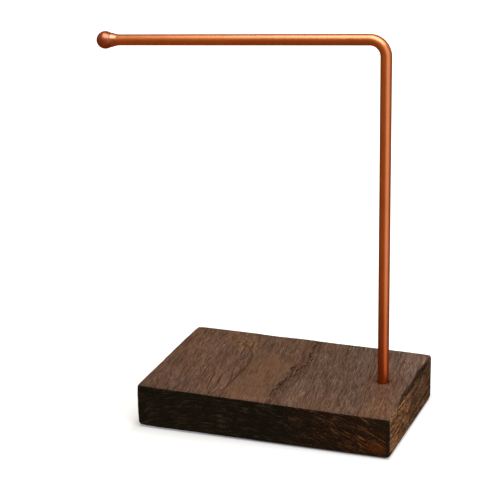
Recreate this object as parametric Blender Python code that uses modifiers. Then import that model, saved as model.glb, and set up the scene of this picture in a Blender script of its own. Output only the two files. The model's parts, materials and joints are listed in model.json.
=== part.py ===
"""Tabletop hanging stand: one bent round rod with a turned ball end, standing in a thick timber block.

Metres, +Z up. The origin is on the table, under the middle of the stand's overall length and depth.
X runs along the block, and the arm reaches towards -X. +Y is the back.
The upright turns in its hole in the block, with everything that is fixed to it.
"""

import math

import bmesh
import bpy
from mathutils import Vector

# Clearance between pieces that touch or turn in each other.
GAP = 0.0003

# The block: the length is the width of the timber that it was cut from, across the grain.
# It is sawn unevenly, so its flat top rises towards the back and falls a little towards +X.
BLOCK_LENGTH = 0.235
BLOCK_DEPTH = 0.1475
BLOCK_HEIGHT = 0.0385
BLOCK_RISE_TO_BACK = 0.0065
BLOCK_FALL_TO_RIGHT = 0.003
BLOCK_EDGE = 0.0012

# The rod: its upright stands near the +X end of the block, a little behind the middle of the depth.
ROD_RADIUS = 0.005
POST_FROM_END = 0.0258
POST_BEHIND_MIDDLE = 0.002
CORNER_ABOVE_BLOCK = 0.30975
ARM_TO_BALL = 0.2628
ARM_DROOP = math.radians(2.4)
BEND_RADIUS = 0.014
ROD_SIDES = 32
BEND_STEPS = 16

# The ball end, measured from the ball's centre towards the rod.
# A shoulder slopes down from the ball to the groove.
BALL_RADIUS = 0.0080
BALL_ARC_END = 0.0023
BALL_STEPS = 16
GROOVE_AT = 0.0062
GROOVE_HALF_WIDTH = 0.0003
GROOVE_DEPTH = 0.0002
NECK_RADIUS = 0.0065
COLLAR_END = 0.0136
COLLAR_END_RADIUS = 0.00505
COLLAR_CURVE = 1.7
COLLAR_STEPS = 7
COLLAR_CHAMFER = 0.0002

# The headless stud between the rod and the ball end (M5).
STUD_RADIUS = 0.0025
STUD_IN_EACH = 0.007

# The fixing from below: an M5 x 25 pan head screw, a split lock washer and a wide flat washer.
SCREW_RADIUS = 0.0025
SCREW_LENGTH = 0.025
HEAD_RADIUS = 0.00475
HEAD_HEIGHT = 0.0037
HEAD_CROWN = 0.0012
HEAD_FLAT_RADIUS = 0.0038
TIP_CHAMFER = 0.0006
SOCKET_RADIUS = 0.00173
SOCKET_DEPTH = 0.0022
LOCK_RADIUS = 0.0046
LOCK_THICKNESS = 0.0012
LOCK_SPLIT = 0.0009
LOCK_SPLIT_SLANT = math.radians(25)
LOCK_SPLIT_TURN = math.radians(200)
WASHER_RADIUS = 0.0075
WASHER_THICKNESS = 0.0012
ROD_HOLE_DEPTH = 0.022
COUNTERBORE_RADIUS = 0.0085
COUNTERBORE_DEPTH = 0.008

# The stick-on pads.
PAD_RADIUS = 0.008
PAD_THICKNESS = 0.0015
PAD_INSET = 0.016

TURNED_SIDES = 32
SHARP_EDGE = math.radians(35)
MERGE = 0.00001
OVERCUT = 0.002

# Places that follow from the sizes above.
ARM_WAY = Vector((-math.cos(ARM_DROOP), 0, -math.sin(ARM_DROOP)))
BALL_FROM_POST = ARM_TO_BALL * math.cos(ARM_DROOP)
OVERALL_LENGTH = BALL_RADIUS + BALL_FROM_POST + POST_FROM_END
POST = Vector((OVERALL_LENGTH / 2 - POST_FROM_END, POST_BEHIND_MIDDLE, 0))
BLOCK_CENTRE_X = OVERALL_LENGTH / 2 - BLOCK_LENGTH / 2
BLOCK_BOTTOM = PAD_THICKNESS + GAP


def block_top(x, y):
    """The height of the block's sloping top, where x and y are measured from the block's middle."""
    to_back = BLOCK_RISE_TO_BACK * (y / BLOCK_DEPTH + 0.5)
    to_right = BLOCK_FALL_TO_RIGHT * (x / BLOCK_LENGTH + 0.5)
    return BLOCK_BOTTOM + BLOCK_HEIGHT + to_back - to_right


TOP_AT_POST = block_top(POST.x - BLOCK_CENTRE_X, POST.y)
ROD_SEAT = TOP_AT_POST - ROD_HOLE_DEPTH
ROD_FOOT = ROD_SEAT + GAP
CORNER = POST + Vector((0, 0, TOP_AT_POST + CORNER_ABOVE_BLOCK))
BALL_CENTRE = CORNER + ARM_WAY * ARM_TO_BALL
COUNTERBORE_CEILING = BLOCK_BOTTOM + COUNTERBORE_DEPTH
WASHER_TOP = COUNTERBORE_CEILING - GAP
LOCK_TOP = WASHER_TOP - WASHER_THICKNESS - GAP
HEAD_TOP = LOCK_TOP - LOCK_THICKNESS - GAP
SCREW_TIP = HEAD_TOP + SCREW_LENGTH
ARM_ROTATION = (0, -(math.pi / 2 + ARM_DROOP), 0)


def clear_scene():
    for old in list(bpy.data.objects):
        bpy.data.objects.remove(old, do_unlink=True)


def new_collection(name):
    collection = bpy.data.collections.new(name)
    bpy.context.scene.collection.children.link(collection)
    return collection


def new_material(name, colour, roughness, metallic):
    material = bpy.data.materials.new(name)
    material.use_nodes = True
    shader = material.node_tree.nodes["Principled BSDF"]
    shader.inputs["Base Color"].default_value = (*colour, 1)
    shader.inputs["Roughness"].default_value = roughness
    shader.inputs["Metallic"].default_value = metallic
    return material


def new_object(name, mesh, collection, material=None):
    piece = bpy.data.objects.new(name, mesh)
    collection.objects.link(piece)
    if material:
        mesh.materials.append(material)
    return piece


def mesh_of(shape, name):
    mesh = bpy.data.meshes.new(name)
    shape.to_mesh(mesh)
    shape.free()
    return mesh


def shade_round(mesh):
    mesh.shade_smooth()
    mesh.set_sharp_from_angle(angle=SHARP_EDGE)


def turned(name, profile, collection, material=None, is_ring=False):
    """A turned solid round its own Z. The profile is (radius, z) points down the outer side."""
    mesh = bpy.data.meshes.new(name)
    points = [(radius, 0, z) for radius, z in profile]
    edges = [(i, i + 1) for i in range(len(points) - 1)]
    if is_ring:
        edges.append((len(points) - 1, 0))
    mesh.from_pydata(points, edges, [])
    piece = new_object(name, mesh, collection, material)
    screw = piece.modifiers.new("turn", "SCREW")
    screw.axis = "Z"
    screw.angle = math.tau
    screw.steps = TURNED_SIDES
    screw.render_steps = TURNED_SIDES
    screw.use_merge_vertices = True
    screw.merge_threshold = MERGE
    screw.use_smooth_shade = True
    return piece


def cylinder(name, radius, low, high, collection, sides=TURNED_SIDES, material=None):
    """A round or many-sided bar along its own Z, between two heights."""
    shape = bmesh.new()
    bmesh.ops.create_cone(
        shape,
        cap_ends=True,
        segments=sides,
        radius1=radius,
        radius2=radius,
        depth=high - low,
    )
    bmesh.ops.translate(shape, vec=(0, 0, (low + high) / 2), verts=shape.verts)
    mesh = mesh_of(shape, name)
    shade_round(mesh)
    return new_object(name, mesh, collection, material)


def make_cutter(piece):
    piece.hide_render = True
    piece.display_type = "WIRE"
    return piece


def cut(piece, cutter):
    boolean = piece.modifiers.new("cut " + cutter.name, "BOOLEAN")
    boolean.operation = "DIFFERENCE"
    boolean.solver = "EXACT"
    boolean.object = cutter


def make_block(parts, cutters):
    """The timber block, with a stepped hole right through it for the rod and its screw."""
    shape = bmesh.new()
    bmesh.ops.create_cube(shape, size=1)
    for corner in shape.verts:
        x = corner.co.x * BLOCK_LENGTH
        y = corner.co.y * BLOCK_DEPTH
        corner.co = (x, y, block_top(x, y) if corner.co.z > 0 else BLOCK_BOTTOM)
    mesh = mesh_of(shape, "base_block")
    wood = new_material("dark_stained_wood", (0.09, 0.052, 0.035), 0.55, 0)
    block = new_object("base_block", mesh, parts, wood)
    block.location = (BLOCK_CENTRE_X, 0, 0)
    bevel = block.modifiers.new("worn edges", "BEVEL")
    bevel.width = BLOCK_EDGE
    bevel.segments = 2
    hole = turned(
        "rod_and_screw_hole",
        [
            (0, TOP_AT_POST + OVERCUT),
            (ROD_RADIUS + GAP, TOP_AT_POST + OVERCUT),
            (ROD_RADIUS + GAP, ROD_SEAT),
            (SCREW_RADIUS + GAP, ROD_SEAT),
            (SCREW_RADIUS + GAP, COUNTERBORE_CEILING),
            (COUNTERBORE_RADIUS, COUNTERBORE_CEILING),
            (COUNTERBORE_RADIUS, BLOCK_BOTTOM - OVERCUT),
            (0, BLOCK_BOTTOM - OVERCUT),
        ],
        cutters,
    )
    hole.location = POST
    cut(block, make_cutter(hole))


def rod_centre_line():
    """Up the post, round the bend and out along the arm, as points from the foot to the arm's end."""
    turn = math.pi / 2 + ARM_DROOP
    tangent = BEND_RADIUS * math.tan(turn / 2)
    bend_centre = CORNER - Vector((BEND_RADIUS, 0, tangent))
    points = [POST + Vector((0, 0, ROD_FOOT))]
    for step in range(BEND_STEPS + 1):
        angle = turn * step / BEND_STEPS
        points.append(bend_centre + BEND_RADIUS * Vector((math.cos(angle), 0, math.sin(angle))))
    points.append(BALL_CENTRE - ARM_WAY * (COLLAR_END + GAP))
    return points


def make_rod(parts, cutters, copper, swivel):
    """One round rod, bent once, with a tapped hole in its foot and in the end of its arm."""
    curve = bpy.data.curves.new("rod_line", "CURVE")
    curve.dimensions = "3D"
    curve.bevel_depth = ROD_RADIUS
    curve.bevel_resolution = (ROD_SIDES - 4) // 2
    curve.use_fill_caps = True
    centre_line = rod_centre_line()
    spline = curve.splines.new("POLY")
    spline.points.add(len(centre_line) - 1)
    for point, place in zip(spline.points, centre_line):
        point.co = (*(place - POST), 1)
    guide = bpy.data.objects.new("rod_line", curve)
    parts.objects.link(guide)
    bpy.context.view_layer.update()
    graph = bpy.context.evaluated_depsgraph_get()
    mesh = bpy.data.meshes.new_from_object(guide.evaluated_get(graph))
    mesh.name = "arm_rod"
    bpy.data.objects.remove(guide)
    shape = bmesh.new()
    shape.from_mesh(mesh)
    bmesh.ops.remove_doubles(shape, verts=shape.verts, dist=MERGE)
    shape.to_mesh(mesh)
    shape.free()
    shade_round(mesh)
    rod = new_object("arm_rod", mesh, parts, copper)
    rod.parent = swivel

    foot_bore = cylinder(
        "foot_bore",
        SCREW_RADIUS + GAP,
        ROD_FOOT - OVERCUT,
        SCREW_TIP + GAP,
        cutters,
    )
    foot_bore.location = POST
    cut(rod, make_cutter(foot_bore))
    end_bore = cylinder(
        "end_bore",
        STUD_RADIUS + GAP,
        -(COLLAR_END + GAP + STUD_IN_EACH + GAP),
        -COLLAR_END + OVERCUT,
        cutters,
    )
    end_bore.location = BALL_CENTRE
    end_bore.rotation_euler = ARM_ROTATION
    cut(rod, make_cutter(end_bore))


def finial_profile():
    """From the ball's far pole, over the shoulder, groove and collar, and back up the tapped hole."""
    collar_start = GROOVE_AT + GROOVE_HALF_WIDTH
    last_angle = math.acos(-BALL_ARC_END / BALL_RADIUS)
    profile = []
    for step in range(BALL_STEPS + 1):
        angle = last_angle * step / BALL_STEPS
        profile.append((BALL_RADIUS * math.sin(angle), BALL_RADIUS * math.cos(angle)))
    profile.append((NECK_RADIUS, -(GROOVE_AT - GROOVE_HALF_WIDTH)))
    profile.append((NECK_RADIUS - GROOVE_DEPTH, -GROOVE_AT))
    collar_length = COLLAR_END - collar_start
    for step in range(COLLAR_STEPS):
        along = step / COLLAR_STEPS
        swell = (1 - along) ** COLLAR_CURVE * (NECK_RADIUS - COLLAR_END_RADIUS)
        profile.append((COLLAR_END_RADIUS + swell, -(collar_start + along * collar_length)))
    profile.append((COLLAR_END_RADIUS, -COLLAR_END + COLLAR_CHAMFER))
    profile.append((COLLAR_END_RADIUS - COLLAR_CHAMFER, -COLLAR_END))
    profile.append((STUD_RADIUS + GAP, -COLLAR_END))
    profile.append((STUD_RADIUS + GAP, -COLLAR_END + STUD_IN_EACH + GAP))
    profile.append((0, -COLLAR_END + STUD_IN_EACH + GAP))
    return profile


def make_finial(parts, copper, swivel):
    """The turned ball end and the stud that holds it to the rod."""
    from_post = BALL_CENTRE - POST
    ball = turned("ball_finial", finial_profile(), parts, copper)
    ball.location = from_post
    ball.rotation_euler = ARM_ROTATION
    ball.parent = swivel
    steel = new_material("plain_steel", (0.42, 0.42, 0.43), 0.38, 1)
    stud = cylinder(
        "finial_stud",
        STUD_RADIUS,
        -(COLLAR_END + GAP + STUD_IN_EACH),
        -COLLAR_END + STUD_IN_EACH,
        parts,
        material=steel,
    )
    stud.location = from_post
    stud.rotation_euler = ARM_ROTATION
    stud.parent = swivel


def make_screw(parts, cutters, swivel):
    """The pan head screw that goes up through the block into the rod's foot."""
    zinc = new_material("zinc_plated_screw", (0.55, 0.55, 0.54), 0.34, 1)
    head_bottom = HEAD_TOP - HEAD_HEIGHT
    screw = turned(
        "rod_screw",
        [
            (0, SCREW_TIP),
            (SCREW_RADIUS - TIP_CHAMFER, SCREW_TIP),
            (SCREW_RADIUS, SCREW_TIP - TIP_CHAMFER),
            (SCREW_RADIUS, HEAD_TOP),
            (HEAD_RADIUS, HEAD_TOP),
            (HEAD_RADIUS, head_bottom + HEAD_CROWN),
            (HEAD_FLAT_RADIUS, head_bottom),
            (0, head_bottom),
        ],
        parts,
        zinc,
    )
    screw.parent = swivel
    socket = cylinder(
        "hex_socket",
        SOCKET_RADIUS,
        head_bottom - OVERCUT,
        head_bottom + SOCKET_DEPTH,
        cutters,
        sides=6,
    )
    socket.location = POST
    cut(screw, make_cutter(socket))


def ring_profile(inner, outer, low, high):
    return [(inner, high), (outer, high), (outer, low), (inner, low)]


def make_washers(parts, cutters):
    """The wide flat washer against the timber, and the split lock washer on the screw's head."""
    flat = turned(
        "flat_washer",
        ring_profile(SCREW_RADIUS + GAP, WASHER_RADIUS, WASHER_TOP - WASHER_THICKNESS, WASHER_TOP),
        parts,
        new_material("zinc_plated_washer", (0.6, 0.6, 0.59), 0.36, 1),
        is_ring=True,
    )
    flat.location = POST
    lock = turned(
        "lock_washer",
        ring_profile(SCREW_RADIUS + GAP, LOCK_RADIUS, LOCK_TOP - LOCK_THICKNESS, LOCK_TOP),
        parts,
        new_material("spring_steel", (0.3, 0.3, 0.31), 0.42, 1),
        is_ring=True,
    )
    lock.location = POST
    split = bmesh.new()
    bmesh.ops.create_cube(split, size=1)
    bmesh.ops.scale(split, vec=(LOCK_RADIUS * 2, LOCK_SPLIT, LOCK_THICKNESS * 4), verts=split.verts)
    bmesh.ops.translate(split, vec=(LOCK_RADIUS, 0, 0), verts=split.verts)
    slot = new_object("lock_washer_split", mesh_of(split, "lock_washer_split"), cutters)
    slot.location = POST + Vector((0, 0, LOCK_TOP - LOCK_THICKNESS / 2))
    slot.rotation_euler = (LOCK_SPLIT_SLANT, 0, LOCK_SPLIT_TURN)
    cut(lock, make_cutter(slot))


def make_pads(parts):
    """Four round stick-on pads, one near each corner of the block's underside."""
    felt = new_material("dark_felt", (0.035, 0.03, 0.028), 0.95, 0)
    first = None
    for side, across in (("left", -1), ("right", 1)):
        for end, back in (("front", -1), ("back", 1)):
            name = f"foot_pad_{end}_{side}"
            if first is None:
                first = cylinder(name, PAD_RADIUS, 0, PAD_THICKNESS, parts, material=felt)
                pad = first
            else:
                pad = bpy.data.objects.new(name, first.data)
                parts.objects.link(pad)
            pad.location = (
                BLOCK_CENTRE_X + across * (BLOCK_LENGTH / 2 - PAD_INSET),
                back * (BLOCK_DEPTH / 2 - PAD_INSET),
                0,
            )


def main():
    clear_scene()
    parts = new_collection("tabletop_hanging_stand")
    cutters = new_collection("cutters")
    swivel = bpy.data.objects.new("arm_swivel_axis", None)
    swivel.location = POST
    parts.objects.link(swivel)
    copper = new_material("satin_copper_rod", (0.68, 0.29, 0.14), 0.32, 1)
    finial_copper = new_material("satin_copper_ball", (0.62, 0.25, 0.12), 0.28, 1)
    make_block(parts, cutters)
    make_rod(parts, cutters, copper, swivel)
    make_finial(parts, finial_copper, swivel)
    make_screw(parts, cutters, swivel)
    make_washers(parts, cutters)
    make_pads(parts)


main()
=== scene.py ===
"""The looks of a tabletop hanging stand: a satin copper rod in a dark stained block of rough timber.

Metres, +Z up, in the frame's own axes: X runs along the block, the arm reaches towards -X, and +Y is
the back. The timber's grain runs along Y, so the front and back faces are end grain.
"""

import json
import math
from types import SimpleNamespace

import bpy
import numpy as np
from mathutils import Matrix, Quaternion, Vector


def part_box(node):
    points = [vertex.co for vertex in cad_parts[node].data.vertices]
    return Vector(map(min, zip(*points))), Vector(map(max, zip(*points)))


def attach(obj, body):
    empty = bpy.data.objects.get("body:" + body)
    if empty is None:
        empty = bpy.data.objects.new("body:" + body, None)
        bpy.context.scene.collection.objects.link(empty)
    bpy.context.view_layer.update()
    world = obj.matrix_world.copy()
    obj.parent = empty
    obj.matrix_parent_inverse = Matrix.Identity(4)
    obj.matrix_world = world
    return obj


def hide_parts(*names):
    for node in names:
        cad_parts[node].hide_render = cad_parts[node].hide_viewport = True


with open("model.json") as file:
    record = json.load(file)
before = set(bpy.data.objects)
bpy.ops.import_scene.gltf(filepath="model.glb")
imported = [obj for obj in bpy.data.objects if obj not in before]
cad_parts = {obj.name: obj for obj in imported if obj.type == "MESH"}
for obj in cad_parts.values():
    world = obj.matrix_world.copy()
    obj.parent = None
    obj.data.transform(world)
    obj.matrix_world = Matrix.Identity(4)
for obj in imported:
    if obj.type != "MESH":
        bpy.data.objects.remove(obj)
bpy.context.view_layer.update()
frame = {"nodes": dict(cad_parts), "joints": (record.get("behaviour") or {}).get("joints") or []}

# The camera.
CAMERA_AIM = Vector((-0.00845, 0.01412, 0.14966))
CAMERA_DISTANCE = 1.42
CAMERA_AZIMUTH = math.radians(20.60)
CAMERA_ELEVATION = math.radians(16.90)
CAMERA_ROLL = math.radians(-0.943)
CAMERA_LENS = 111.4

# The frame's places and sizes.
UP = Vector((0, 0, 1))
POST = Vector((*frame["joints"][0]["pos_m"][:2], 0))
BLOCK_LOW, BLOCK_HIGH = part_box("base_block")
ROD_LOW, ROD_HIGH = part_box("arm_rod")
ROD_RADIUS = (ROD_HIGH.y - ROD_LOW.y) / 2
ROD_FOOT = ROD_LOW.z
BALL_LOW, BALL_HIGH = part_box("ball_finial")
BALL_RADIUS = 0.0080
ARM_DROOP = math.radians(2.4)
ARM_WAY = Vector((-math.cos(ARM_DROOP), 0, -math.sin(ARM_DROOP)))
BALL_CENTRE = Vector((BALL_LOW.x + BALL_RADIUS, POST.y, (BALL_LOW.z + BALL_HIGH.z) / 2))
ROD_CORNER = BALL_CENTRE - ARM_WAY * (POST.x - BALL_CENTRE.x) / math.cos(ARM_DROOP)
BEND_RADIUS = 0.014
ROD_EASE = 0.0003

# The ball end, as distances from the ball's centre towards the rod.
CREASE_AT = 0.0062
COLLAR_END = 0.0136

# Gaps between pieces, and holes. A bore's depth is its straight part's, and a cone ends it.
GAP = 0.0003
SEAM = 0.00005
STUD_RADIUS = 0.0025
BORE_RADIUS = STUD_RADIUS + GAP
BORE_CONE = 0.001
FOOT_BORE = 0.0125
ARM_BORE = 0.0075
BALL_BORE = 0.0063
COUNTERBORE_RADIUS = 0.0085
HOLE_OVERSHOOT = 0.002

# The block's lattice, and how its edges are worn. The lattice's height is only its own: the points
# are then fitted under the CAD block's sloping top.
LATTICE_HEIGHT = 0.0385
LENGTH_STEP = 0.0010
DEPTH_STEP = 0.0017
HEIGHT_STEP = 0.0011
EDGE_STEP = 0.0003
EDGE_ZONE = 0.0025
CRACK_STEP = 0.0004
EDGE_RADIUS = 0.0008
CORNER_RADIUS = 0.0016
CORNER_REACH = 0.008
CHIP_DEPTH = 0.0005
CRACK_DEPTH = 0.0006
SEAM_DEPTH = 0.0003
STEP_DEPTH = 0.00022
WANE_WIDTH = 0.0034
RIGHT_SWELL = 0.0010

# The grain: growth rings round a pith line far under the block, and streaks that lean a little from Y.
PITH = Vector((0.012, 0, -0.22))
RING_SPACING = 0.0045
GRAIN_LEAN = math.radians(-8)

# Marks on the block's top, as (from the left end, from the back edge).
FRONT_CRACK = (
    (0.1243, 0.1475),
    (0.1218, 0.134),
    (0.1202, 0.119),
    (0.1215, 0.104),
    (0.1235, 0.089),
    (0.121, 0.079),
    (0.1212, 0.066),
)
BACK_CRACK = (
    (0.1279, 0.078),
    (0.1277, 0.068),
    (0.129, 0.060),
    (0.1312, 0.049),
    (0.1290, 0.040),
    (0.1268, 0.030),
    (0.1245, 0.017),
    (0.1243, 0.0),
)
RING_LINE = (
    (0.0793, 0.1475),
    (0.0778, 0.130),
    (0.0777, 0.113),
    (0.0793, 0.096),
    (0.0793, 0.079),
    (0.0777, 0.063),
    (0.0755, 0.051),
    (0.0693, 0.039),
    (0.0590, 0.028),
)
RING_BRANCH = (
    (0.0765, 0.057),
    (0.0715, 0.0605),
    (0.0672, 0.0655),
    (0.0665, 0.072),
    (0.0685, 0.080),
    (0.0715, 0.090),
)
BACK_MARK = ((0.0935, 0.005), (0.0985, 0.0065), (0.1035, 0.0075))
KNOT = (0.060, 0.025)

# How much lighter, or below 0 darker, each mark makes the timber. The darkening of the cracks and of the
# shadowed strip beside the front crack is painted shade.
MARK_TONES = {"crack": -0.42, "seam": -0.34, "shadowed": -0.08, "wear": 0.06, "dull": -0.06}

# The room's light, as soft patches of (direction, outer angle, inner angle, colour): a warm room all
# round, cooler light above, a glow in front on the right, and a patch behind on the left that takes
# light away.
ROOM_LIGHT = (
    ((0, 0, 1), 180, 179, (0.235, 0.095, 0.018)),
    ((0, 0, 1), 110, 60, (0.075, 0.155, 0.13)),
    ((0.855, -0.52, -0.05), 50, 5, (0.66, 0.70, 0.68)),
    ((-0.80, 0.55, -0.25), 46, 5, (-0.18, -0.075, -0.014)),
)

# The floor's own glow, and the shadow painted on it round the stand.
FLOOR_TINT = (0.83, 0.89, 0.97, 1)
FLOOR_GLOW = 0.36
FLOOR_HALF = 12.0
HALO_WIDTH = 0.026
HALO_DEPTH = 0.74
HALO_LEFT_SQUEEZE = 2.2
HALO_RIGHT_SQUEEZE = 9
UNDER_GLOW = 0.12
SHADOW_MIDDLE = (-0.12, -0.16, 0)


# ---------------------------------------------------------------- noise and meshes


def smooth_step(low, high, value):
    """0 before low and 1 past high, with a smooth change between them. low may be the larger one."""
    share = np.clip((value - low) / (high - low), 0, 1)
    return share * share * (3 - 2 * share)


def lattice_random(cells, seed):
    """A fixed pseudo-random number from -1 to 1 for each whole-numbered cell."""
    across, along, upward = np.moveaxis(cells, -1, 0)
    mixed = across * 374761393 + along * 668265263 + upward * 974634777 + seed * 362437
    mixed = mixed & 0xFFFFFFFF
    mixed = ((mixed ^ (mixed >> 13)) * 1274126177) & 0xFFFFFFFF
    mixed = ((mixed ^ (mixed >> 16)) * 461845907) & 0xFFFFFFFF
    return (mixed ^ (mixed >> 15)) / 0x7FFFFFFF - 1


def soft_noise(points, size, seed):
    """Smooth noise from -1 to 1. size is the length of one swing, along each axis."""
    scaled = points / np.array(size)
    cell = np.floor(scaled).astype(np.int64)
    inside = scaled - cell
    inside = inside * inside * (3 - 2 * inside)
    total = np.zeros(len(points))
    for corner in np.ndindex(2, 2, 2):
        share = np.prod(np.where(corner, inside, 1 - inside), axis=1)
        total += share * lattice_random(cell + np.array(corner), seed)
    return total


def lattice_line(length, step_at):
    """Places from 0 to length, whose spacing follows step_at."""
    marks = [0.0]
    while marks[-1] < length:
        marks.append(marks[-1] + step_at(marks[-1]))
    return np.array(marks) * (length / marks[-1])


def edged_step(length, step):
    """The spacing along a side: fine near both ends, and step between them."""

    def step_at(place):
        from_end = min(place, length - place)
        return EDGE_STEP if from_end < EDGE_ZONE else step

    return step_at


def box_surface(lines):
    """The closed surface of a box on three lines of places: its points, and quads that face outwards."""
    counts = tuple(len(line) for line in lines)
    quads = []
    for axis in range(3):
        first, second = [other for other in range(3) if other != axis]
        steps = (np.arange(counts[first] - 1), np.arange(counts[second] - 1))
        cells = np.meshgrid(*steps, indexing="ij")
        for side in (0, counts[axis] - 1):
            corners = []
            for step_first, step_second in ((0, 0), (1, 0), (1, 1), (0, 1)):
                index = [None, None, None]
                index[axis] = np.full_like(cells[0], side)
                index[first] = cells[0] + step_first
                index[second] = cells[1] + step_second
                corners.append(np.ravel_multi_index(index, counts).ravel())
            faces_out = (side > 0) != (axis == 1)
            quads.append(np.stack(corners if faces_out else corners[::-1], axis=1))
    used, numbered = np.unique(np.concatenate(quads), return_inverse=True)
    places = np.unravel_index(used, counts)
    points = np.stack([line[place] for line, place in zip(lines, places)], axis=1)
    return points, numbered.reshape(-1, 4)


def new_mesh(name, points, faces, material):
    mesh = bpy.data.meshes.new(name)
    mesh.from_pydata(points, [], faces)
    mesh.materials.append(material)
    mesh.shade_smooth()
    return mesh


def new_object(name, data):
    made = bpy.data.objects.new(name, data)
    bpy.context.scene.collection.objects.link(made)
    return made


def new_piece(name, mesh, body, node):
    """An object that rides on a body and is shown in place of a CAD node, which it hides."""
    piece = new_object(name, mesh)
    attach(piece, body)
    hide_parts(node)


def swept(sections, sides):
    """A closed round solid through (centre, direction, radius) sections, as its points and faces.

    The directions have no Y part. The first and last sections have radius 0, which closes the ends.
    """
    points = []
    faces = []
    rings = []
    across = Vector((0, 1, 0))
    for centre, direction, radius in sections:
        if radius == 0:
            rings.append([len(points)])
            points.append(centre)
            continue
        other = direction.cross(across)
        rings.append(list(range(len(points), len(points) + sides)))
        for side in range(sides):
            angle = math.tau * side / sides
            points.append(centre + radius * (math.cos(angle) * across + math.sin(angle) * other))
    for low, high in zip(rings, rings[1:]):
        for side in range(sides):
            after = (side + 1) % sides
            if len(low) == 1:
                faces.append((low[0], high[after], high[side]))
            elif len(high) == 1:
                faces.append((low[side], low[after], high[0]))
            else:
                faces.append((low[side], low[after], high[after], high[side]))
    return points, faces


def turned(origin, direction, profile, sides):
    """A turned solid from (radius, height) points, from its low middle round to its high middle."""
    sections = [(origin + direction * height, direction, radius) for radius, height in profile]
    return swept(sections, sides)


def arc(radius, start, end, steps):
    """Points on an arc of a profile round its origin, with its angles in degrees from the axis."""
    points = []
    for step in range(steps + 1):
        angle = math.radians(start + (end - start) * step / steps)
        points.append((radius * math.sin(angle), radius * math.cos(angle)))
    return points


# ---------------------------------------------------------------- node trees


class Nodes:
    """A node tree, and short calls that add nodes to it."""

    def __init__(self, tree):
        self.tree = tree

    def node(self, kind, inputs=None, **settings):
        made = self.tree.nodes.new(kind)
        for setting, value in settings.items():
            setattr(made, setting, value)
        for key, value in (inputs or {}).items():
            self.put(made.inputs[key], value)
        return made

    def put(self, socket, value):
        """Links another node's output to an input, or sets the input to a value."""
        if isinstance(value, bpy.types.NodeSocket):
            self.tree.links.new(value, socket)
        elif socket.type == "RGBA" and len(value) == 3:
            socket.default_value = (*value, 1)
        else:
            socket.default_value = value

    def math(self, operation, *values):
        return self.node("ShaderNodeMath", dict(enumerate(values)), operation=operation).outputs[0]

    def vector(self, operation, *values):
        """A vector operation. A length, a distance and a dot product are numbers, the rest vectors."""
        made = self.node("ShaderNodeVectorMath", dict(enumerate(values)), operation=operation)
        is_number = operation in ("LENGTH", "DISTANCE", "DOT_PRODUCT")
        return made.outputs["Value" if is_number else "Vector"]

    def mix(self, share, first, second, blend="MIX"):
        inputs = {0: share, 6: first, 7: second}
        return self.node("ShaderNodeMix", inputs, data_type="RGBA", blend_type=blend).outputs[2]

    def add(self, *values):
        total = values[0]
        for value in values[1:]:
            total = self.math("ADD", total, value)
        return total

    def times(self, *values):
        product = values[0]
        for value in values[1:]:
            product = self.math("MULTIPLY", product, value)
        return product

    def blend(self, share, first, second):
        """Two numbers, mixed by a 0 to 1 share."""
        return self.math("MULTIPLY_ADD", share, self.math("SUBTRACT", second, first), first)

    def scaled(self, value, low, high):
        """A 0 to 1 value, stretched to run from low to high."""
        return self.math("MULTIPLY_ADD", value, high - low, low)

    def held(self, value, low, high, new_low=0.0, new_high=1.0, **settings):
        """The value's span from low to high, mapped to a new span and held inside it."""
        inputs = {0: value, 1: low, 2: high, 3: new_low, 4: new_high}
        return self.node("ShaderNodeMapRange", inputs, **settings).outputs[0]


class Shade(Nodes):
    """One material. An underscore in a keyword's name stands for a space in the shader's socket."""

    def __init__(self, name, **constants):
        self.material = bpy.data.materials.new(name)
        self.material.use_nodes = True
        super().__init__(self.material.node_tree)
        self.finish(**constants)
        self.place = self.node("ShaderNodeTexCoord").outputs["Object"]

    def finish(self, **inputs):
        """Sets or links the shader's inputs, and gives the material."""
        shader = self.tree.nodes["Principled BSDF"]
        for name, value in inputs.items():
            self.put(shader.inputs[name.replace("_", " ")], value)
        return self.material

    def axes(self, place):
        """A place's X, Y and Z."""
        return self.node("ShaderNodeSeparateXYZ", {0: place}).outputs

    def ramp(self, value, stops):
        made = self.node("ShaderNodeValToRGB", {0: value})
        elements = made.color_ramp.elements
        while len(elements) < len(stops):
            elements.new(0.5)
        for element, (place, colour) in zip(elements, stops):
            element.position = place
            element.color = (*colour, 1)
        return made.outputs[0]

    def stretch(self, scale):
        return self.node("ShaderNodeMapping", {"Vector": self.place, "Scale": scale}).outputs[0]

    def noise(self, place, scale, detail=2.0, roughness=0.5, distortion=0.0):
        inputs = {"Vector": place, "Scale": scale, "Detail": detail, "Roughness": roughness}
        inputs["Distortion"] = distortion
        return self.node("ShaderNodeTexNoise", inputs).outputs[0]

    def mask(self, name):
        """One of the mesh's own attributes, as a number."""
        return self.node("ShaderNodeAttribute", attribute_name=name).outputs["Fac"]

    def bump(self, height, distance, strength):
        inputs = {"Height": height, "Distance": distance, "Strength": strength}
        return self.node("ShaderNodeBump", inputs).outputs[0]


# ---------------------------------------------------------------- metals and felt


def satin_copper(name, light, dark):
    """Satin copper under a thin clear lacquer, with fine upright marks and a mottled tone."""
    shade = Shade(
        name,
        Metallic=1.0,
        Specular_Tint=(0.9, 0.4, 0.2),
        Coat_Roughness=0.32,
        Coat_IOR=2.1,
    )
    mottle = shade.noise(shade.place, 90, detail=4, roughness=0.6)
    smudge = shade.noise(shade.place, 22)
    scratch = shade.noise(shade.stretch((1, 1, 0.12)), 2600)
    tone = shade.held(shade.add(mottle, smudge), 0.75, 1.25)
    colour = shade.mix(tone, dark, light)
    roughness = shade.held(shade.add(mottle, scratch), 0.6, 1.4, 0.34, 0.44)
    normal = shade.bump(scratch, 0.00002, 0.3)
    return shade, colour, roughness, normal


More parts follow.
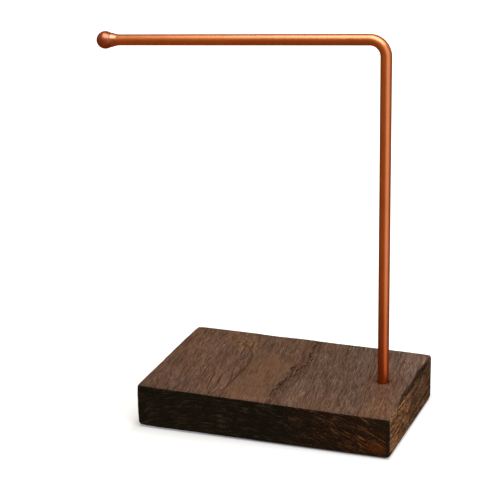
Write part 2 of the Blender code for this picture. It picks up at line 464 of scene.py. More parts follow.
def rod_copper():
    """The rod's copper. Towards its foot the lacquer is worn and the metal smoother, and its colour
    darkens: a painted reflection of the dark block, with painted shade.
    """
    light = (0.90, 0.235, 0.024)
    dark = (0.80, 0.185, 0.013)
    # Painted reflection of the dark block, and painted shade, on the rod near its foot.
    stained = (0.53, 0.088, 0.002)
    shade, colour, roughness, normal = satin_copper("satin_copper_rod", light, dark)
    low_down = shade.held(shade.axes(shade.place)[2], 0.045, 0.155, 1, 0)
    return shade.finish(
        Base_Color=shade.mix(low_down, colour, stained),
        Roughness=shade.blend(low_down, roughness, 0.33),
        Normal=normal,
        Coat_Weight=shade.scaled(low_down, 1.0, 0.22),
    )


def ball_copper():
    """The ball end's copper: tarnished on the ball, with painted shade in the crease, polished on the
    collar.
    """
    light = (0.66, 0.150, 0.028)
    dark = (0.34, 0.060, 0.010)
    polished = (0.78, 0.185, 0.045)
    # Painted shade for the crease between the ball and the collar.
    crease_shade = (0.36, 0.068, 0.014)
    shade, colour, roughness, normal = satin_copper("satin_copper_ball", light, dark)
    along_arm = shade.vector("DOT_PRODUCT", shade.place, ARM_WAY)
    from_ball = shade.math("SUBTRACT", BALL_CENTRE.dot(ARM_WAY), along_arm)
    from_crease = shade.math("ABSOLUTE", shade.math("SUBTRACT", from_ball, CREASE_AT))
    on_collar = shade.held(from_ball, CREASE_AT, CREASE_AT + 0.001)
    in_crease = shade.held(from_crease, 0.0003, 0.0010, 1, 0)
    colour = shade.mix(on_collar, colour, polished)
    return shade.finish(
        Base_Color=shade.mix(in_crease, colour, crease_shade),
        Roughness=shade.blend(on_collar, roughness, 0.30),
        Normal=normal,
        Coat_Weight=shade.scaled(on_collar, 0.6, 1.0),
    )


def zinc_material(name, light, dark):
    """Plated steel: cloudy plating, with a fine grit."""
    shade = Shade(name, Metallic=1.0)
    cloud = shade.noise(shade.place, 420, detail=4, roughness=0.65)
    grit = shade.noise(shade.place, 4200)
    return shade.finish(
        Base_Color=shade.mix(shade.held(cloud, 0.35, 0.65), dark, light),
        Roughness=shade.held(shade.add(cloud, grit), 0.7, 1.3, 0.26, 0.46),
        Normal=shade.bump(grit, 0.00003, 0.4),
    )


def felt_material():
    """Pressed dark felt: matted fibres."""
    light = (0.06, 0.052, 0.048)
    dark = (0.018, 0.015, 0.014)
    shade = Shade("pressed_felt", Sheen_Weight=0.35, Sheen_Roughness=0.6)
    fibre = shade.noise(shade.place, 1900, detail=5, roughness=0.75, distortion=1.5)
    clump = shade.noise(shade.place, 260, detail=3)
    return shade.finish(
        Base_Color=shade.mix(shade.held(fibre, 0.35, 0.65), dark, light),
        Roughness=shade.held(clump, 0.3, 0.7, 0.85, 1.0),
        Normal=shade.bump(shade.add(fibre, clump), 0.0003, 0.7),
    )


# ---------------------------------------------------------------- the stained timber


def drawn_out(shade, run, scale, low, high, **settings):
    """Noise that changes only run times as fast along the grain. Its low to high becomes 0 to 1."""
    return shade.held(shade.noise(shade.stretch((1, run, 1)), scale, **settings), low, high)


def timber_grain(shade, straight):
    """The timber's patterns, each from 0 to 1. On the left and right sides the streaks follow Y itself."""
    side_place = shade.node("ShaderNodeMapping", {"Vector": straight, "Scale": (1, 0.05, 1)})
    side_streak = shade.noise(side_place.outputs[0], 560, detail=4, roughness=0.75)
    top_streak = shade.noise(shade.stretch((1, 0.05, 1)), 860, detail=4, roughness=0.85)
    streak = shade.blend(shade.mask("side"), top_streak, side_streak)
    return SimpleNamespace(
        broad=drawn_out(shade, 0.07, 240, 0.33, 0.67, detail=4, roughness=0.65),
        streak=shade.held(streak, 0.33, 0.67),
        fibre=drawn_out(shade, 0.075, 1400, 0.33, 0.67),
        groove=drawn_out(shade, 0.022, 640, 0.555, 0.625, roughness=0.6),
        blotch=drawn_out(shade, 0.5, 34, 0.35, 0.65, detail=4, roughness=0.65),
        pore=drawn_out(shade, 0.16, 900, 0.66, 0.74, detail=1),
        fleck=drawn_out(shade, 0.25, 800, 0.66, 0.76, detail=1),
        tear=drawn_out(shade, 0.35, 700, 0.38, 0.62, detail=3, roughness=0.7),
        mottle=drawn_out(shade, 0.6, 330, 0.36, 0.64, detail=3, roughness=0.7),
        hue=drawn_out(shade, 0.35, 55, 0.4, 0.6, detail=3),
    )


def timber_places(shade, straight):
    """Where a point is across and along the grain and from the pith and the post, and a slow wander."""
    across, along, _ = shade.axes(straight)
    end_on = shade.vector("MULTIPLY", straight, (1, 0, 1))
    from_above = shade.vector("MULTIPLY", straight, (1, 1, 0))
    return SimpleNamespace(
        across=across,
        along=along,
        from_pith=shade.vector("DISTANCE", end_on, PITH),
        from_post=shade.vector("DISTANCE", from_above, POST),
        wander=shade.noise(shade.stretch((1, 0.22, 1)), 26),
    )


def timber_tone(shade, grain, at):
    """How light the stain is, round about one half: the grain, and the marks on it."""
    ring_stops = ((0, 0.3), (0.5, 0.75), (0.85, 0.1), (1, 0.3))
    wavy = shade.math("MULTIPLY_ADD", at.wander, 0.022, at.from_pith)
    ring = shade.math("FRACT", shade.math("DIVIDE", wavy, RING_SPACING))
    ring_tone = shade.ramp(ring, [(place, (grey,) * 3) for place, grey in ring_stops])
    texture = shade.add(
        shade.scaled(ring_tone, -0.05, 0.05),
        shade.scaled(grain.broad, -0.055, 0.055),
        shade.scaled(grain.streak, -0.18, 0.20),
        shade.scaled(grain.groove, 0.03, -0.17),
        shade.scaled(grain.fibre, -0.14, 0.14),
        shade.scaled(grain.pore, 0, -0.25),
        shade.scaled(grain.fleck, 0, 0.20),
    )
    more_on_side = shade.times(shade.mask("side"), 1.8)
    less_on_band = shade.times(shade.mask("band"), -0.45)
    contrast = shade.add(1.0, less_on_band, more_on_side)
    # Painted shade in a thin ring on the top round the rod, where it enters the block.
    shade_round_foot = shade.held(at.from_post, ROD_RADIUS + 0.0004, ROD_RADIUS + 0.0022, 1, 0)
    tone = shade.add(
        shade.times(texture, contrast),
        shade.scaled(grain.blotch, 0.465, 0.545),
        shade.times(shade.mask("torn"), shade.scaled(grain.tear, -0.30, 0.24)),
        shade.times(shade.mask("knot"), shade.scaled(grain.mottle, -0.12, 0.20)),
        shade.times(shade_round_foot, -0.22),
    )
    for mark, change in MARK_TONES.items():
        tone = shade.add(tone, shade.times(shade.mask(mark), change))
    return tone


def long_grain_colour(shade, grain, at):
    """The brown of the top and of the left and right sides, and how it changes from place to place."""
    colour_by_tone = (
        (0.0, (0.012, 0.0066, 0.0062)),
        (0.3, (0.057, 0.0270, 0.0180)),
        (0.5, (0.114, 0.0590, 0.0420)),
        (0.72, (0.194, 0.110, 0.081)),
        (1.0, (0.34, 0.22, 0.165)),
    )
    side = shade.mask("side")
    right_half = shade.held(at.across, 0.03, 0.06)
    far_right = shade.times(shade.held(at.across, 0.04, 0.08), shade.held(at.along, -0.05, 0.0))
    golden_end = shade.times(
        shade.held(at.across, 0.115, 0.13),
        shade.held(at.along, -0.005, -0.03),
    )
    front_left = shade.times(
        shade.held(at.across, -0.02, -0.075),
        shade.held(at.along, -0.005, -0.045),
    )
    back_right = shade.times(
        shade.held(at.across, 0.110, 0.124),
        shade.held(at.along, 0.0, 0.025),
        shade.math("SUBTRACT", 1.0, side),
    )
    # Painted reflection of the copper rod on the timber round its foot: warmer out to about 34 mm, redder
    # close in.
    polished = shade.held(at.from_post, 0.008, 0.034, 1, 0)
    copper_reflection = shade.held(at.from_post, 0.006, 0.014, 1, 0)
    to_back = shade.held(at.along, -0.015, 0.012)
    side_tint = shade.mix(to_back, (1.36, 1.32, 1.15), (0.70, 0.67, 0.58))
    tints = (
        (grain.hue, (1.06, 0.97, 0.9)),
        (shade.mask("band"), (1.17, 1.19, 1.10)),
        (shade.mask("knot"), (1.12, 1.10, 0.85)),
        (right_half, (1.0, 1.06, 1.10)),
        (far_right, (0.95, 1.03, 1.10)),
        (golden_end, (1.10, 1.03, 0.88)),
        (front_left, (0.80, 0.81, 0.88)),
        (back_right, (1.20, 1.22, 1.27)),
        (polished, (1.08, 0.96, 0.88)),
        (copper_reflection, (1.04, 0.80, 0.64)),
        (side, side_tint),
        (shade.mask("wane"), (0.30, 0.27, 0.24)),
    )
    colour = shade.ramp(timber_tone(shade, grain, at), colour_by_tone)
    for share, tint in tints:
        colour = shade.mix(share, colour, tint, "MULTIPLY")
    return colour


def end_grain_colour(shade, at):
    """Near-black end grain, where the rings show as broken lighter arcs, redder to the right."""
    to_right = shade.held(at.across, 0.045, 0.13)
    dark = shade.mix(to_right, (0.0070, 0.0050, 0.0027), (0.0160, 0.0063, 0.0026))
    light = shade.mix(to_right, (0.078, 0.063, 0.042), (0.33, 0.138, 0.050))
    glowing = (0.22, 0.060, 0.008)
    ring_axes = {
        0: shade.math("MULTIPLY_ADD", at.wander, 0.012, at.from_pith),
        1: shade.times(at.across, 0.12),
        2: shade.times(at.along, 0.5),
    }
    ring_place = shade.node("ShaderNodeCombineXYZ", ring_axes).outputs[0]
    hatch = shade.held(shade.noise(ring_place, 700, detail=3, roughness=0.8), 0.52, 0.65)
    speck = shade.held(shade.noise(shade.place, 600, detail=4, roughness=0.85), 0.535, 0.665)
    patches = shade.held(shade.noise(shade.place, 60, detail=3, roughness=0.6), 0.40, 0.60)
    arcs = shade.times(shade.blend(0.35, hatch, speck), shade.scaled(patches, 0.3, 1.0))
    glow = shade.times(shade.mask("glow"), shade.scaled(speck, 0.25, 1.0))
    return shade.mix(glow, shade.mix(arcs, dark, light), glowing)


def wood_material():
    """Dark stained rough timber, lightly waxed on the top, with near-black end grain."""
    # Near-black painted shade along the right end's edges and on the front face by the right end.
    corner_shade = (0.012, 0.011, 0.007)
    shade = Shade("dark_stained_wood", Specular_IOR_Level=0.14, Coat_Roughness=0.28, Coat_IOR=1.5)
    straight = shade.place
    leaning = {"Vector": straight, "Rotation": (0, 0, GRAIN_LEAN)}
    shade.place = shade.node("ShaderNodeMapping", leaning).outputs[0]
    at = timber_places(shade, straight)
    grain = timber_grain(shade, straight)
    end_grain = shade.mask("end_grain")
    long_grain = long_grain_colour(shade, grain, at)
    colour = shade.mix(end_grain, long_grain, end_grain_colour(shade, at))
    unwaxed = shade.add(end_grain, shade.mask("side"), shade.mask("crack"))
    relief = shade.add(
        shade.times(grain.streak, 0.6),
        shade.times(grain.broad, 0.5),
        shade.times(grain.fibre, 0.25),
        shade.times(grain.pore, -0.6),
        shade.times(shade.mask("torn"), grain.tear),
    )
    return shade.finish(
        Base_Color=shade.mix(shade.mask("corner"), colour, corner_shade),
        Roughness=shade.held(shade.add(grain.streak, end_grain), 0.0, 2.0, 0.46, 0.95),
        Normal=shade.bump(relief, 0.00035, 0.7),
        Coat_Weight=shade.held(unwaxed, 0, 0.5, 0.22, 0.0),
    )


# ---------------------------------------------------------------- the timber block


def beside_line(left, from_back, line):
    """How far right of a mark each place on the top is, and how much it is in the mark's length."""
    fade = 0.012
    ordered = sorted(line, key=lambda point: point[1])
    backs = [point[1] for point in ordered]
    lefts = [point[0] for point in ordered]
    within = smooth_step(backs[0] - fade, backs[0], from_back)
    within = within * smooth_step(backs[-1] + fade, backs[-1], from_back)
    return left - np.interp(from_back, backs, lefts), within


def distance_to_line(left, from_back, line):
    """How far each place on the top is from the nearest stretch of a mark."""
    places = np.stack([left, from_back], axis=1)
    nearest = np.full(len(left), np.inf)
    for start, end in zip(np.array(line[:-1]), np.array(line[1:])):
        way = end - start
        share = np.clip((places - start) @ way / (way @ way), 0, 1)
        gaps = np.linalg.norm(places - start - share[:, None] * way, axis=1)
        nearest = np.minimum(nearest, gaps)
    return nearest


def in_furrow(off, width):
    """1 on a furrow's line, falling away to 0 over about its width."""
    return np.exp(-((off / width) ** 2))


def block_step(length):
    """The spacing along the block: fine near its ends, and where the cracks run."""
    margin = 0.004
    crack_low = min(left for left, _ in FRONT_CRACK) - margin
    crack_high = max(left for left, _ in BACK_CRACK) + margin
    plain = edged_step(length, LENGTH_STEP)

    def step_at(place):
        return CRACK_STEP if crack_low < place < crack_high else plain(place)

    return step_at


def worn_edges(flat, size):
    """The lattice drawn onto a rounded box, and the way outwards at each of its points.

    The edges' radius swells at the corners and wanders along the edges.
    """
    to_side = np.minimum(flat, size - flat)
    near_corner = np.prod(1 - smooth_step(0.0, CORNER_REACH, to_side), axis=1)
    radius = EDGE_RADIUS + (CORNER_RADIUS - EDGE_RADIUS) * near_corner
    slow = soft_noise(flat, (0.011,) * 3, 1)
    quick = soft_noise(flat, (0.004,) * 3, 2)
    radius = radius * (1 + 0.35 * slow + 0.2 * quick)
    inner = np.clip(flat, radius[:, None], size - radius[:, None])
    outward = flat - inner
    outward /= np.linalg.norm(outward, axis=1)[:, None]
    return inner + outward * radius[:, None], outward


def grain_relief(flat, outward):
    """How far each point stands out: ridges along the grain, coarse sawn ends, and a slow sway."""
    long_grain = 1 - np.abs(outward[:, 1])
    ridges = 0.00007 * soft_noise(flat, (0.0017, 0.030, 0.0017), 3)
    ridges = ridges + 0.00005 * soft_noise(flat, (0.004, 0.05, 0.004), 4)
    sawn = 0.00012 * soft_noise(flat, (0.0028, 0.004, 0.0028), 5)
    sway = 0.00022 * soft_noise(flat, (0.028, 0.05, 0.02), 6)
    return ridges * long_grain + sawn * (1 - long_grain) + sway


def cracks(flat, from_back, ragged):
    """The two cracks, each of two broken fissures side by side, and the torn fibres round them."""
    left = flat[:, 0]
    crack = np.zeros(len(flat))
    torn = np.zeros(len(flat))
    for index, (line, width) in enumerate(((FRONT_CRACK, 0.0008), (BACK_CRACK, 0.0007))):
        for offset, share, seed in ((0, 0.9, 8), (0.0017, 0.7, 12)):
            off, within = beside_line(left + 0.0007 * ragged - offset, from_back, line)
            broken = soft_noise(flat, (0.01, 0.0045, 1), seed + index)
            strength = np.clip(share * (0.5 + 0.8 * broken), 0, 1)
            crack = np.maximum(crack, in_furrow(off, width) * within * strength)
        off, within = beside_line(left + 0.001 * ragged - 0.0008, from_back, line)
        torn = np.maximum(torn, smooth_step(0.0032, 0.0014, np.abs(off)) * within)
    return crack, torn


def top_marks(flat, size):
    """The masks of the marks on the top, and how deep they cut into it.

    A seam follows a growth ring, with a step down to its left. Between it and the front crack the
    top is a smoother band, and to the right of that crack it is a little darker. There is a knot
    near the back on the left, and a duller strip along the front edge.
    """
    left = flat[:, 0]
    from_back = size[1] - flat[:, 1]
    ragged = soft_noise(flat, (0.0035, 0.0035, 1), 7)
    crack, torn = cracks(flat, from_back, ragged)
    wavering = left + 0.0004 * ragged
    off_ring, within_ring = beside_line(wavering, from_back, RING_LINE)
    off_crack, _ = beside_line(left, from_back, FRONT_CRACK)
    seam = in_furrow(off_ring, 0.0008) * within_ring
    for line, share in ((RING_BRANCH, 0.6), (BACK_MARK, 1.0)):
        furrow = in_furrow(distance_to_line(wavering, from_back, line), 0.0007)
        seam = np.maximum(seam, share * furrow)
    step_down = smooth_step(0.0005, -0.0005, off_ring) * smooth_step(-0.012, -0.001, off_ring)
    step_down = step_down * within_ring
    band = smooth_step(-0.001, 0.001, off_ring) * smooth_step(0.001, -0.001, off_crack)
    shadowed = smooth_step(0.0005, 0.0025, off_crack) * smooth_step(0.016, 0.009, off_crack)
    from_knot = np.hypot(left - KNOT[0], 0.75 * (from_back - KNOT[1]))
    marks = {
        "crack": crack,
        "torn": torn,
        "seam": seam,
        "band": band * smooth_step(0.030, 0.062, from_back),
        "shadowed": shadowed * smooth_step(0.030, 0.050, from_back),
        "knot": smooth_step(0.020, 0.006, from_knot + 0.003 * ragged),
        "dull": smooth_step(0.0055, 0.0010, flat[:, 1]),
    }
    return marks, CRACK_DEPTH * crack + SEAM_DEPTH * seam + STEP_DEPTH * step_down


def waney_edge(flat, shaped, size):
    """The points, with the top right edge cut back by a rough facet, and that facet's mask."""
    to_back = flat[:, 1] / size[1]
    width = WANE_WIDTH * (0.2 + 0.8 * smooth_step(0.14, 0.42, to_back))
    width = width * (1 - 0.75 * smooth_step(0.72, 0.97, to_back))
    width = width * (1 + 0.3 * soft_noise(flat, (1, 0.009, 1), 9))
    facet = np.zeros_like(flat)
    facet[:, 0] = 1.2 + 0.9 * smooth_step(0.45, 0.9, to_back)
    facet[:, 2] = 1
    facet /= np.linalg.norm(facet, axis=1)[:, None]
    edge = np.stack([size[0] - width, flat[:, 1], np.full(len(flat), size[2])], axis=1)
    over = np.einsum("ij,ij->i", shaped - edge, facet)
    over = np.maximum(over + 0.0003 * soft_noise(flat, (0.003, 0.006, 0.003), 10), 0)
    return shaped - facet * over[:, None], smooth_step(0.0001, 0.0006, over)


def face_masks(flat, size, outward, edge_on):
    """The masks of the worn edges, the kinds of face, the painted shade on the right end's edges and
    front, and a warm patch on the right.
    """
    from_right = size[0] - flat[:, 0]
    from_front = flat[:, 1]
    height = flat[:, 2]
    # Painted shade: dark lines along the right end's back and front edges, and a dark patch high on the
    # front face by the right end.
    back_edge = smooth_step(0.0045, 0.002, size[1] - from_front) * (from_right < 0.0001)
    front_edge = smooth_step(0.0042, 0.0012, from_right + from_front)
    front_edge = front_edge * smooth_step(0.8, 0.3, outward[:, 2])
    corner_shade = smooth_step(0.030, 0.004, from_right) * smooth_step(0.40, 0.85, height / size[2])
    corner_shade = corner_shade * smooth_step(0.3, 0.8, -outward[:, 1])
    from_glow = np.hypot(0.6 * (from_right - 0.011), height - 0.009)
    patchy = 0.5 + 0.5 * soft_noise(flat, (0.006,) * 3, 11)
    return {
        "wear": smooth_step(0.03, 0.25, edge_on) * patchy,
        "end_grain": smooth_step(0.62, 0.8, np.abs(outward[:, 1])),
        "side": smooth_step(0.6, 0.8, np.abs(outward[:, 0])),
        "corner": np.maximum.reduce((0.75 * back_edge, 0.9 * front_edge, 0.75 * corner_shade)),
        "glow": smooth_step(0.009, 0.002, from_glow),
    }


def cad_top(points):
    """The height of the CAD block's flat, sloping top at these points."""
    mesh = frame["nodes"]["base_block"].data
    widest = max(mesh.polygons, key=lambda face: face.area * face.normal.z)
    corner = mesh.vertices[widest.vertices[0]].co
    slope = widest.normal
    drop = slope.x * (points[:, 0] - corner.x) + slope.y * (points[:, 1] - corner.y)
    return corner.z - drop / slope.z


def fit_to_frame(shaped, size):
    """The points in the block's place, under its sloping top. The right end swells past the CAD's."""
    placed = shaped * (1 + RIGHT_SWELL / size[0], 1, 1) + np.array(BLOCK_LOW)
    rise = (cad_top(placed) - BLOCK_LOW.z) / size[2]
    placed[:, 2] = BLOCK_LOW.z + (placed[:, 2] - BLOCK_LOW.z) * rise
    return placed


def block_shape():
    """The block's points, quads and masks: worn edges, grain relief, cracks, a step and a waney edge."""
    size = np.array(BLOCK_HIGH - BLOCK_LOW)
    size[2] = LATTICE_HEIGHT
    lines = (
        lattice_line(size[0], block_step(size[0])),
        lattice_line(size[1], edged_step(size[1], DEPTH_STEP)),
        lattice_line(size[2], edged_step(size[2], HEIGHT_STEP)),
    )
    flat, quads = box_surface(lines)
    shaped, outward = worn_edges(flat, size)
    on_top = smooth_step(0.3, 0.8, outward[:, 2])
    edge_on = 1 - np.max(np.abs(outward), axis=1)
    chips = smooth_step(0.1, 0.7, soft_noise(flat, (0.006, 0.005, 0.006), 13))
    marks, cut = top_marks(flat, size)
    depth = grain_relief(flat, outward)
    depth -= CHIP_DEPTH * smooth_step(0.02, 0.2, edge_on) * chips
    depth -= on_top * cut
    shaped, wane = waney_edge(flat, shaped + outward * depth[:, None], size)
    masks = face_masks(flat, size, outward, edge_on)
    masks["wane"] = wane
    for name, mark in marks.items():
        masks[name] = mark * on_top
    return fit_to_frame(shaped, size), quads, masks


def hole_profile():
    """The stepped hole's (radius, height) points: a counterbore, the screw's hole, the rod's socket."""
    below = BLOCK_LOW.z - HOLE_OVERSHOOT
    above = BLOCK_HIGH.z + HOLE_OVERSHOOT
    counterbore_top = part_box("flat_washer")[1].z + GAP
    return (
        (0, below),
        (COUNTERBORE_RADIUS, below),
        (COUNTERBORE_RADIUS, counterbore_top),
        (BORE_RADIUS, counterbore_top),
        (BORE_RADIUS, ROD_FOOT - GAP),
        (ROD_RADIUS + GAP, ROD_FOOT - GAP),
        (ROD_RADIUS + GAP, above),
        (0, above),
    )


def make_block():
    """The timber block, with its masks as attributes and the stepped hole cut through it."""
    points, quads, masks = block_shape()
    wood = wood_material()
    mesh = new_mesh("timber_block", points.tolist(), quads.tolist(), wood)
    for name, values in masks.items():
        attribute = mesh.attributes.new(name, "FLOAT", "POINT")
        attribute.data.foreach_set("value", values.astype(np.float32))
    block = new_object("timber_block", mesh)
    hole = turned(POST, UP, hole_profile(), sides=96)
    cutter = new_object("hole", new_mesh("hole", *hole, wood))
    boolean = block.modifiers.new("hole", "BOOLEAN")
    boolean.operation = "DIFFERENCE"
    boolean.object = cutter
    bpy.context.view_layer.update()
    graph = bpy.context.evaluated_depsgraph_get()
    cut = bpy.data.meshes.new_from_object(block.evaluated_get(graph))
    for helper in (block, cutter):
        bpy.data.objects.remove(helper)
    cut.set_sharp_from_angle(angle=math.radians(50))
    new_piece("wood_block", cut, "block", "base_block")


# ---------------------------------------------------------------- the rod and its ball end


def straight_run(start, end, direction, count):
    """Sections of the rod between two places, and clear of both."""
    levels = np.linspace(0.05, 0.95, count)
    return [(start.lerp(end, level), direction, ROD_RADIUS) for level in levels]


def bend_sections(centre, turn, steps):
    """Sections of the rod round its bend, from the upright to the arm."""
    sections = []
    for step in range(steps + 1):
        angle = turn * step / steps
        out = Vector((math.cos(angle), 0, math.sin(angle)))
        along = Vector((-math.sin(angle), 0, math.cos(angle)))
        sections.append((centre + BEND_RADIUS * out, along, ROD_RADIUS))
    return sections


def make_rod():
    """One round bar: a tapped foot, the upright, the bend, the arm and a tapped end."""
    turn = math.pi / 2 + ARM_DROOP
    bend_centre = ROD_CORNER - Vector((BEND_RADIUS, 0, BEND_RADIUS * math.tan(turn / 2)))
    bend = bend_sections(bend_centre, turn, steps=48)
    foot = POST + UP * ROD_FOOT
    upright_top = Vector((POST.x, POST.y, bend_centre.z))
    tip = BALL_CENTRE - ARM_WAY * (COLLAR_END + SEAM)
    sections = [
        (foot + UP * (FOOT_BORE + BORE_CONE), UP, 0),
        (foot + UP * FOOT_BORE, UP, BORE_RADIUS),
        (foot, UP, BORE_RADIUS),
        (foot, UP, ROD_RADIUS - ROD_EASE),
        (foot + UP * ROD_EASE, UP, ROD_RADIUS),
        *straight_run(foot, upright_top, UP, count=24),
        *bend,
        *straight_run(bend[-1][0], tip, ARM_WAY, count=20),
        (tip - ARM_WAY * ROD_EASE, ARM_WAY, ROD_RADIUS),
        (tip, ARM_WAY, ROD_RADIUS - ROD_EASE),
        (tip, ARM_WAY, BORE_RADIUS),
        (tip - ARM_WAY * ARM_BORE, ARM_WAY, BORE_RADIUS),
        (tip - ARM_WAY * (ARM_BORE + BORE_CONE), ARM_WAY, 0),
    ]
    mesh = new_mesh("copper_rod", *swept(sections, sides=64), rod_copper())
    mesh.set_sharp_from_angle(angle=math.radians(30))
    new_piece("copper_rod", mesh, "swivel_arm", "arm_rod")


def make_finial():
    """The ball, its shoulder down to a fine crease, and a collar that narrows to the rod.

    It is turned from one piece. The profile's heights run from the rod towards the ball's far end.
    """
    ball_end = 0.0023
    half_crease = 0.0006
    crease_depth = 0.0006
    neck_radius = 0.0065
    end_radius = 0.00505
    chamfer = 0.0001
    collar_curve = 1.7
    collar_steps = 16
    end_angle = math.degrees(math.acos(-ball_end / BALL_RADIUS))
    ball = arc(BALL_RADIUS, 0, end_angle, steps=40)
    shoulder = []
    for level in (0.25, 0.5, 0.75, 1.0):
        at = ball_end + level * (CREASE_AT - half_crease - ball_end)
        shoulder.append((ball[-1][0] + level * (neck_radius - ball[-1][0]), -at))
    collar = []
    collar_start = CREASE_AT + half_crease
    for step in range(collar_steps + 1):
        along = step / collar_steps
        swell = (1 - along) ** collar_curve * (neck_radius - end_radius)
        at = collar_start + along * (COLLAR_END - chamfer - collar_start)
        collar.append((end_radius + swell, -at))
    profile = [
        (0, BALL_BORE + BORE_CONE - COLLAR_END),
        (BORE_RADIUS, BALL_BORE - COLLAR_END),
        (BORE_RADIUS, -COLLAR_END),
        (end_radius - chamfer, -COLLAR_END),
        *reversed(collar),
        (neck_radius - crease_depth, -CREASE_AT),
        *reversed(shoulder),
        *reversed(ball),
    ]
    solid = turned(BALL_CENTRE, ARM_WAY, profile, sides=96)
    mesh = new_mesh("ball_end", *solid, ball_copper())
    mesh.set_sharp_from_angle(angle=math.radians(30))
    new_piece("copper_ball_end", mesh, "swivel_arm", "ball_finial")


# ---------------------------------------------------------------- the fixing and the pads


def dress(node, material):
    """Gives a CAD node that is shown as it is its material."""
    slots = frame["nodes"][node].data.materials
    slots.clear()
    slots.append(material)


def make_fixing():
    """The screw, the washers and the stud are the CAD's own, in plated or plain steel."""
    zinc = zinc_material("zinc_plate", (0.62, 0.63, 0.64), (0.46, 0.47, 0.49))
    steel = zinc_material("plain_steel", (0.40, 0.40, 0.41), (0.30, 0.30, 0.31))
    dress("rod_screw", zinc)
    dress("flat_washer", zinc)
    dress("lock_washer", steel)
    dress("finial_stud", steel)


def make_pad(name, felt):
    """A round pad with an eased rim. Its flat faces are cut into rings."""
    rim = 0.0004
    ring_count = 16
    low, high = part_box(name)
    middle = Vector(((low.x + high.x) / 2, (low.y + high.y) / 2, 0))
    radius = (high.x - low.x) / 2
    rings = [(radius - rim) * (ring + 1) / ring_count for ring in range(ring_count)]
    profile = [
        (0, low.z),
        *((ring, low.z) for ring in rings),
        (radius, low.z + rim),
        (radius, high.z - rim),
        *((ring, high.z) for ring in reversed(rings)),
        (0, high.z),
    ]
    mesh = new_mesh(name, *turned(middle, UP, profile, sides=72), felt)
    new_piece("felt_" + name, mesh, "block", name)


def make_pads():
    felt = felt_material()
    for row in ("front", "back"):
        for end in ("left", "right"):
            make_pad(f"foot_pad_{row}_{end}", felt)


# ---------------------------------------------------------------- the studio


def floor_material():
    """Pale and faintly glowing, its glow dimmed near the stand, with a soft shadow painted round the
    block.

    Straight under the right half of the block, a little in from its edges, that painted shadow is deep.
    """
    shade = Shade(
        "pale_floor",
        Roughness=1.0,
        Specular_IOR_Level=0.0,
        Emission_Color=FLOOR_TINT,
    )
    across, along, _ = shade.axes(shade.place)
    away = shade.vector("DISTANCE", shade.place, SHADOW_MIDDLE)
    # Painted shade: the glow is dimmer near the stand.
    near = shade.held(away, 0.12, 0.30, FLOOR_GLOW, 0.6)
    far = shade.held(away, 0.3, 1.0, 0.0, 0.6)
    past_low = shade.vector("SUBTRACT", BLOCK_LOW, shade.place)
    past_high = shade.vector("SUBTRACT", shade.place, BLOCK_HIGH)
    past_low = shade.vector("MULTIPLY", past_low, (HALO_LEFT_SQUEEZE, 1, 0))
    past_high = shade.vector("MULTIPLY", past_high, (HALO_RIGHT_SQUEEZE, 1, 0))
    past = shade.vector("MAXIMUM", past_low, past_high)
    gap = shade.vector("LENGTH", shade.vector("MAXIMUM", past, (0, 0, 0)))
    # Painted shadow on the floor just under the block, on its right half.
    under = shade.times(
        shade.held(along, BLOCK_LOW.y + 0.0022, BLOCK_LOW.y + 0.0042),
        shade.held(across, -0.03, 0.03),
        shade.held(across, BLOCK_HIGH.x - 0.0018, BLOCK_HIGH.x - 0.0030),
        shade.held(gap, 0.0, 0.0005, 1, 0),
    )
    # The painted shadow round the block darkens both the floor's colour and its glow.
    halo = shade.held(gap, 0.0, HALO_WIDTH, HALO_DEPTH, 1.0)
    halo = shade.times(halo, shade.scaled(under, 1.0, UNDER_GLOW))
    return shade.finish(
        Base_Color=shade.mix(halo, (0, 0, 0), (0.9, 0.9, 0.9)),
        Emission_Strength=shade.times(halo, shade.add(near, far)),
    )


def make_floor():
    """A plain floor that only the camera sees, so that it takes shadows and doesn't light the stand."""
    corners = [(x * FLOOR_HALF, y * FLOOR_HALF, 0) for x, y in ((-1, -1), (1, -1), (1, 1), (-1, 1))]
    floor = new_object("floor", new_mesh("floor", corners, [(0, 1, 2, 3)], floor_material()))
    floor.visible_glossy = False
    floor.visible_diffuse = False
    floor.visible_shadow = False


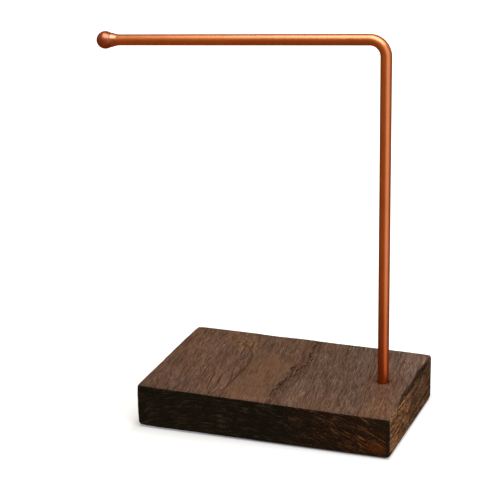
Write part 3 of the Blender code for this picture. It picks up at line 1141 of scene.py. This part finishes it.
def make_light(name, place, aim, width, height, radiance):
    """A soft rectangular light that the camera doesn't see."""
    data = bpy.data.lights.new(name, "AREA")
    data.shape = "RECTANGLE"
    data.size = width
    data.size_y = height
    data.energy = radiance * math.pi * width * height
    light = new_object(name, data)
    light.location = place
    light.rotation_euler = (Vector(aim) - Vector(place)).to_track_quat("-Z", "Y").to_euler()
    light.visible_camera = False


def make_world():
    """White to the camera, and to everything else a dim room of soft patches of light."""
    world = bpy.data.worlds.new("studio")
    world.use_nodes = True
    nodes = Nodes(world.node_tree)
    way = nodes.node("ShaderNodeTexCoord").outputs["Generated"]
    room = (0, 0, 0)
    for aim, wide, narrow, colour in ROOM_LIGHT:
        towards = nodes.vector("DOT_PRODUCT", way, Vector(aim).normalized())
        edge = math.cos(math.radians(wide))
        full = math.cos(math.radians(narrow))
        patch = nodes.held(towards, edge, full, interpolation_type="SMOOTHSTEP")
        room = nodes.vector("ADD", nodes.vector("MULTIPLY", patch, colour), room)
    is_camera = nodes.node("ShaderNodeLightPath").outputs["Is Camera Ray"]
    background = nodes.tree.nodes["Background"]
    nodes.put(background.inputs["Color"], nodes.mix(is_camera, room, (1, 1, 1)))
    bpy.context.scene.world = world


def make_camera():
    data = bpy.data.cameras.new("camera")
    data.lens = CAMERA_LENS
    data.sensor_width = 36
    forward = Vector(
        (
            -math.sin(CAMERA_AZIMUTH) * math.cos(CAMERA_ELEVATION),
            math.cos(CAMERA_AZIMUTH) * math.cos(CAMERA_ELEVATION),
            -math.sin(CAMERA_ELEVATION),
        )
    )
    roll = Quaternion((0, 0, 1), CAMERA_ROLL)
    camera = new_object("camera", data)
    camera.location = CAMERA_AIM - forward * CAMERA_DISTANCE
    camera.rotation_mode = "QUATERNION"
    camera.rotation_quaternion = forward.to_track_quat("-Z", "Y") @ roll
    bpy.context.scene.camera = camera


def main():
    make_block()
    make_rod()
    make_finial()
    make_fixing()
    make_pads()
    make_floor()
    make_light(
        "overhead",
        place=(0.36, -0.56, 1.35),
        aim=(0.36, -0.56, 0),
        width=1.65,
        height=1.3,
        radiance=3.2,
    )
    make_world()
    make_camera()
    bpy.context.scene.view_settings.view_transform = "Standard"


main()
bpy.context.view_layer.update()
